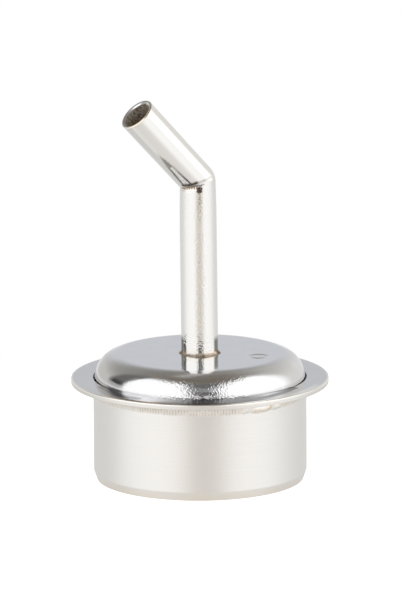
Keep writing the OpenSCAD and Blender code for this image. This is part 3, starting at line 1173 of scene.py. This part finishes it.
LEFT_SHADE = (
    (0.13, (0.42, 0.42, 0.42)),
    (0.18, (0.05, 0.05, 0.05)),
    (0.28, (0.05, 0.05, 0.05)),
    (0.42, (0.15, 0.145, 0.14)),
)
FRONT_SLIT = (
    (0.0, (0.58, 0.58, 0.59)),
    (0.07, (0.55, 0.55, 0.56)),
    (0.13, (0.06, 0.06, 0.06)),
    (0.25, (0.06, 0.06, 0.06)),
    (0.36, (0.24, 0.24, 0.24)),
    (0.50, (0.32, 0.32, 0.32)),
    (0.62, (0.22, 0.22, 0.215)),
    (0.75, (0.13, 0.13, 0.125)),
)
TOP = (
    (0.0, (0.42, 0.345, 0.275)),
    (0.6, (0.175, 0.155, 0.13)),
)


def bearing(tree, vector, front):
    """Parts of a direction seen from the front: aside, away, up, and degrees round from the front."""
    turned_way = put(tree, "ShaderNodeMapping", {"Vector": vector, "Rotation": (0, 0, -front)})
    side, depth, up = put(tree, "ShaderNodeSeparateXYZ", {0: turned_way.outputs[0]}).outputs
    angle = sums(tree, "ARCTAN2", sums(tree, "ABSOLUTE", side), times(tree, depth, -1.0))
    return side, depth, up, times(tree, angle, 180 / math.pi)


def tent_ground(tree, vector, up, degrees):
    """Ground of the tent: bright in front, greyer behind and near the nozzle, and dim towards the camera."""
    round_way = fade(tree, degrees, 0, 180, "LINEAR")
    *_, from_dim = bearing(tree, vector, VIEW_AZIMUTH + DIM_FRONT_TURN)
    far = mixed(tree, fade(tree, from_dim, 32, 11, "LINEAR"), ramp(tree, round_way, GROUND_FAR), DIM_FRONT)
    return mixed(tree, fade(tree, up, -0.35, -0.8), far, ramp(tree, round_way, GROUND_NEAR))


def tent_back(tree, left, up, degrees):
    """Back of the tent and its two flanks, darker with height."""
    height = fade(tree, up, -0.2, 1.0, "LINEAR")
    flank = mixed(tree, left, ramp(tree, height, RIGHT_FLANK), ramp(tree, height, LEFT_FLANK))
    return mixed(tree, fade(tree, degrees, 176, 152), ramp(tree, height, BACK), flank)


def tent_slit(tree, side, depth, up):
    """Where the front of the tent is open, between two edges that lean."""
    left_edge = sums(tree, "MULTIPLY_ADD", up, -0.06, -0.18)
    right_edge = scaled(tree, fade(tree, up, 0.25, 0.42), 0.355, 0.275)
    right_edge = added(tree, right_edge, fade(tree, up, 0.60, 0.88), 0.08)
    past_left = fade(tree, sums(tree, "SUBTRACT", side, left_edge), -0.05, 0.05)
    before_right = fade(tree, sums(tree, "SUBTRACT", side, right_edge), 0.045, -0.045)
    return times(tree, past_left, before_right, fade(tree, depth, 0.1, -0.1))


def make_studio():
    """Soft light tent: bright sides, open front slit, dim top and grey back; plain white to the camera."""
    world = bpy.data.worlds.new("studio")
    bpy.context.scene.world = world
    world.use_nodes = True
    tree = world.node_tree
    tree.nodes.clear()
    vector = put(tree, "ShaderNodeTexCoord").outputs["Generated"]
    side, depth, up, degrees = bearing(tree, vector, VIEW_AZIMUTH)
    left = fade(tree, side, 0.1, -0.1)
    rise = fade(tree, up, 0.0, 1.0, "LINEAR")

    past_left = fade(tree, degrees, 90, 99)
    past_right = fade(tree, degrees, 102, 123)
    past = between(tree, left, past_right, past_left)
    tent = mixed(tree, past, PANEL, tent_back(tree, left, up, degrees))
    shade = times(tree, past_left, fade(tree, degrees, 126, 114), left)
    shade = times(tree, shade, fade(tree, up, -0.02, 0.04), fade(tree, up, 0.92, 0.80))
    tent = mixed(tree, shade, tent, ramp(tree, rise, LEFT_SHADE))
    tent = mixed(tree, tent_slit(tree, side, depth, up), tent, ramp(tree, rise, FRONT_SLIT))
    top = ramp(tree, fade(tree, up, 0.85, 0.95, "LINEAR"), TOP)
    tent = mixed(tree, fade(tree, up, 0.86, 0.897), tent, top)
    tent = mixed(tree, fade(tree, up, 0.01, -0.05), tent, tent_ground(tree, vector, up, degrees))

    path = put(tree, "ShaderNodeLightPath")
    studio = put(tree, "ShaderNodeBackground", {"Color": tent, "Strength": TENT_STRENGTH})
    white = put(tree, "ShaderNodeBackground", {"Color": (1, 1, 1), "Strength": 1.0})
    shown = put(tree, "ShaderNodeMixShader", {
        0: path.outputs["Is Camera Ray"], 1: studio.outputs[0], 2: white.outputs[0],
    })
    out = put(tree, "ShaderNodeOutputWorld")
    wire(tree, out.inputs["Surface"], shown.outputs[0])


bpy.context.scene.view_settings.view_transform = "Standard"
make_camera()
make_studio()
make_floor()

PLACE = make_place()
GRAIN = make_grain()
LINES = make_lines()
HEAT = make_heat()
TRACK = make_track()
FACING = make_facing()
MOUTH = make_mouth_place()
RIPPLE = make_ripple()

make_cup(make_cup_finish(PLACE, GRAIN, LINES, HEAT, FACING), make_cup_inside(PLACE, GRAIN, HEAT))
make_flange(make_flange_finish(PLACE, GRAIN, HEAT, FACING, TRACK))
make_tube(
    make_tube_finish(PLACE, GRAIN, HEAT, TRACK, MOUTH, FACING),
    make_cut_face(PLACE, GRAIN, MOUTH),
    make_bore_finish(PLACE, GRAIN, HEAT),
)
make_weld_bead(make_weld_finish(PLACE, GRAIN, HEAT, RIPPLE, FACING))
make_braze(make_braze_finish(PLACE, GRAIN, HEAT, FACING))
